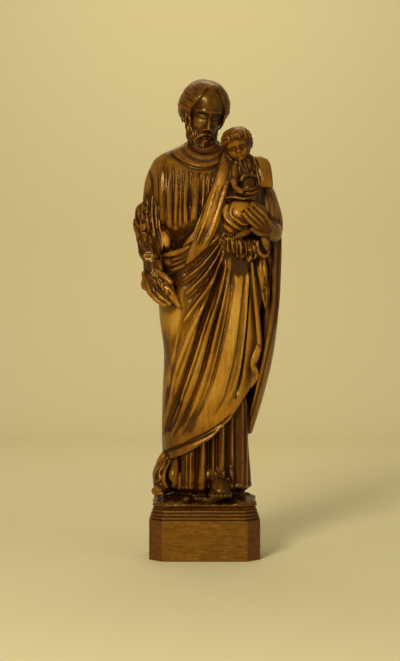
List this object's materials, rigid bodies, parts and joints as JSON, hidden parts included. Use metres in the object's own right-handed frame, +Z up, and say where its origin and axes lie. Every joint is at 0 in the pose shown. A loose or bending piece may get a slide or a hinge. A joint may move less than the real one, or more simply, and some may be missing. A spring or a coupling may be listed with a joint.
{
  "type": "saint joseph statue",
  "caption": "Carved wooden figure of a bearded saint in tunic and mantle, holding a child and a flowering branch, on a plinth with cut corners.",
  "frame": {"origin": "centre of the plinth's underside, on the surface it stands on", "axes": "+Z up, -Y the way the saint faces, +X to the viewer's right, the side of the Child"},
  "size_m": [0.094, 0.0608, 0.3002],
  "materials": {
    "carved_wood": "dark stained carved wood, varnished, with rubbed golden-brown high places and near-black hollows",
    "plinth_wood": "stained and varnished wood, mottled golden brown on the front, redder on the cut corners"
  },
  "bodies": {
    "root": {"figure": "carved_wood", "plinth": "plinth_wood"}
  },
  "joints": []
}
